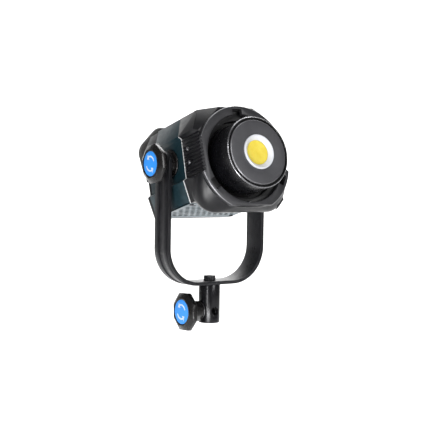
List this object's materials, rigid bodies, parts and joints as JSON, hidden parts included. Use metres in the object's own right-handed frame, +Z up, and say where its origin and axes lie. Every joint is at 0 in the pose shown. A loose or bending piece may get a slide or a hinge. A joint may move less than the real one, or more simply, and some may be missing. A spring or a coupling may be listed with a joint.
{
  "type": "studio spotlight",
  "caption": "Tilting COB studio spotlight head with a bayonet accessory ring, carried in a U-shaped yoke on a clamping stand receiver.",
  "frame": {"origin": "centre of the stand socket's mouth, on the receiver's bottom face", "axes": "+Z up along the socket, the lamp faces -Y tilted nose up, +X to the viewer's right from the front"},
  "size_m": [0.1602, 0.2058, 0.2661],
  "materials": {
    "teal_paint": "satin anodised",
    "grille_paint": "satin",
    "black_plastic": "fine texture",
    "rear_plastic": "fine texture",
    "grip_rubber": "grained",
    "black_metal": "satin anodised",
    "ring_metal": "dark satin anodised",
    "silver": "bright cut",
    "steel": "satin",
    "black_steel": "black oxide",
    "blue_cap": "satin",
    "white_ceramic": "satin",
    "phosphor": "matte",
    "copper": "bare copper",
    "bare_aluminium": "mill",
    "board_green": "solder mask",
    "component_black": "matte",
    "display_glass": "gloss",
    "brass": "bare",
    "white_nylon": "nylon",
    "red_plastic": "gloss",
    "wire_red": "silicone",
    "button_grey": "soft touch"
  },
  "bodies": {
    "yoke": {"yoke": "black_metal", "yoke_bolt": "black_steel", "arm_liners": "white_nylon", "receiver": "black_metal", "tilt_knob_washer": "steel", "stand_knob_washer": "steel"},
    "head": {"bezel_plate": "ring_metal", "body_shell": "teal_paint", "bottom_grille": "grille_paint", "cob_barrel": "black_metal", "cob_holder": "white_ceramic", "cob_phosphor": "phosphor", "cob_substrate": "bare_aluminium", "control_board": "board_green", "control_panel": "black_plastic", "copper_base": "copper", "display_glass": "display_glass", "driver_board": "board_green", "driver_parts": "component_black", "fan_frame": "component_black", "fan_screws": "steel", "front_housing": "black_plastic", "gap_sleeve": "black_metal", "grille_screws": "black_steel", "handle_core": "black_metal", "handle_grip": "grip_rubber", "handle_screws": "black_steel", "heat_pipes": "copper", "heatsink_fins": "bare_aluminium", "inlet_pins": "brass", "led_leads": "wire_red", "mount_ring": "ring_metal", "mount_ring_screws": "steel", "pivot_bolt": "black_steel", "pivot_hub_left": "black_metal", "pivot_hub_right": "black_metal", "pivot_inserts": "brass", "power_inlet": "silver", "rear_cap": "rear_plastic", "rear_screws": "black_steel", "rib_panel_left": "black_plastic", "rib_panel_right": "black_plastic", "rib_screws": "steel", "seam_trim": "silver", "switch_frame": "black_plastic"},
    "fan_rotor": {"fan_rotor": "component_black"},
    "lock_pin": {"lock_pin": "steel"},
    "release_slider": {"release_slider": "black_plastic"},
    "dial_brightness": {"dial_brightness": "button_grey"},
    "dial_colour": {"dial_colour": "button_grey"},
    "button_mode": {"button_mode": "button_grey"},
    "button_effect": {"button_effect": "button_grey"},
    "button_fan": {"button_fan": "button_grey"},
    "power_rocker": {"power_rocker": "red_plastic"},
    "tilt_knob": {"tilt_knob_body": "black_plastic", "tilt_knob_cap": "blue_cap", "tilt_knob_stud": "steel"},
    "stand_knob": {"stand_knob_body": "black_plastic", "stand_knob_cap": "blue_cap", "stand_knob_stud": "steel"}
  },
  "joints": [
    {"name": "head_tilt", "type": "hinge", "parent": "yoke", "child": "head", "pos_m": [0, 0, 0.19], "axis": [-1, 0, 0], "range_deg": [-105, 74]},
    {"name": "fan_spin", "type": "hinge", "parent": "head", "child": "fan_rotor", "pos_m": [0, -0.00112, 0.14563], "axis": [0, 0.2723, 0.9622], "continuous": true},
    {"name": "slider_pull", "type": "slide", "parent": "head", "child": "release_slider", "axis": [0, 0.9622, -0.2723], "range_m": [0, 0.0039], "stiffness_N_per_m": 150, "springref_m": -0.006},
    {"name": "pin_retract", "type": "slide", "parent": "head", "child": "lock_pin", "axis": [0, 0.9622, -0.2723], "range_m": [0, 0.00351]},
    {"name": "brightness_turn", "type": "hinge", "parent": "head", "child": "dial_brightness", "pos_m": [-0.026, 0.05775, 0.16638], "axis": [0, 0.9622, -0.2723], "continuous": true},
    {"name": "colour_turn", "type": "hinge", "parent": "head", "child": "dial_colour", "pos_m": [0.026, 0.05775, 0.16638], "axis": [0, 0.9622, -0.2723], "continuous": true},
    {"name": "mode_press", "type": "slide", "parent": "head", "child": "button_mode", "axis": [0, -0.9622, 0.2723], "range_m": [0, 0.0008], "stiffness_N_per_m": 400, "springref_m": -0.0008},
    {"name": "effect_press", "type": "slide", "parent": "head", "child": "button_effect", "axis": [0, -0.9622, 0.2723], "range_m": [0, 0.0008], "stiffness_N_per_m": 400, "springref_m": -0.0008},
    {"name": "fan_press", "type": "slide", "parent": "head", "child": "button_fan", "axis": [0, -0.9622, 0.2723], "range_m": [0, 0.0008], "stiffness_N_per_m": 400, "springref_m": -0.0008},
    {"name": "power_rock", "type": "hinge", "parent": "head", "child": "power_rocker", "pos_m": [0.022, 0.04655, 0.14149], "axis": [0, 0.2723, 0.9622], "range_deg": [-14, 0]},
    {"name": "tilt_turn", "type": "hinge", "parent": "yoke", "child": "tilt_knob", "pos_m": [-0.078, 0, 0.19], "axis": [-1, 0, 0], "range_deg": [0, 360]},
    {"name": "stand_turn", "type": "hinge", "parent": "yoke", "child": "stand_knob", "pos_m": [-0.032, 0, 0.0148], "axis": [-1, 0, 0], "range_deg": [0, 720]}
  ],
  "couplings": [
    {"joint": "pin_retract", "follows": "slider_pull", "ratio": 0.9}
  ]
}
